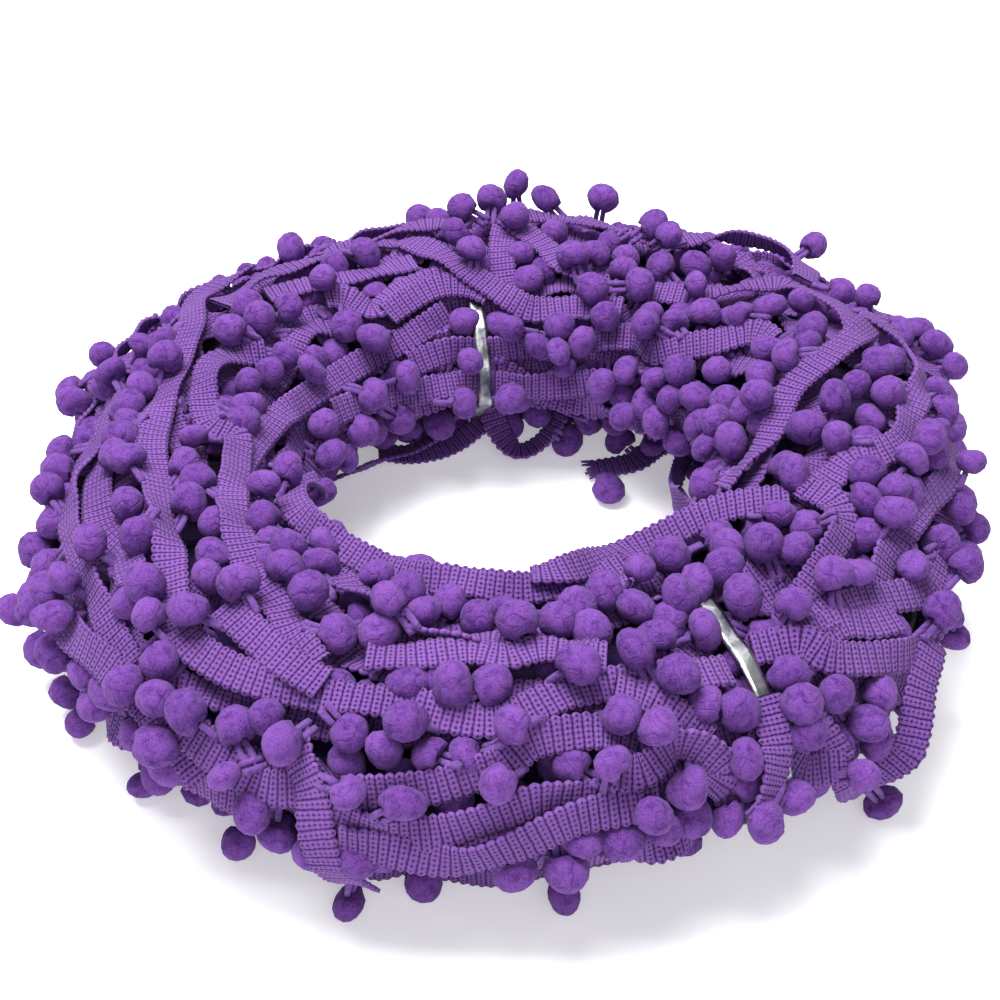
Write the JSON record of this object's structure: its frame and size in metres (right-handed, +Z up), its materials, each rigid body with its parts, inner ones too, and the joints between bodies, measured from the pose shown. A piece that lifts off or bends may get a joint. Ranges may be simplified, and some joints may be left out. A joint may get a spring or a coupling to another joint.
{
  "type": "pompom fringe trim hank",
  "caption": "Woven tape trim with felted yarn pompoms along one edge, wound into a loose ring-shaped hank held by flat wire ties, one cut end lying inside the ring.",
  "frame": {"origin": "centre of the bounding box in plan, on the surface that the hank rests on", "axes": "Z up along the hank's axis, which is its shortest side; the front tie and the cut end at the front are towards -Y"},
  "size_m": [0.2759, 0.2709, 0.077],
  "materials": {
    "trim": "matt woven cotton tape and felted yarn pompoms, purple",
    "tie": "bright silver flat wire, slightly crinkled"
  },
  "bodies": {
    "root": {"hank": "trim", "loose_end_inner": "trim", "loose_end_front": "trim", "tie_front": "tie", "tie_back": "tie"}
  },
  "joints": []
}
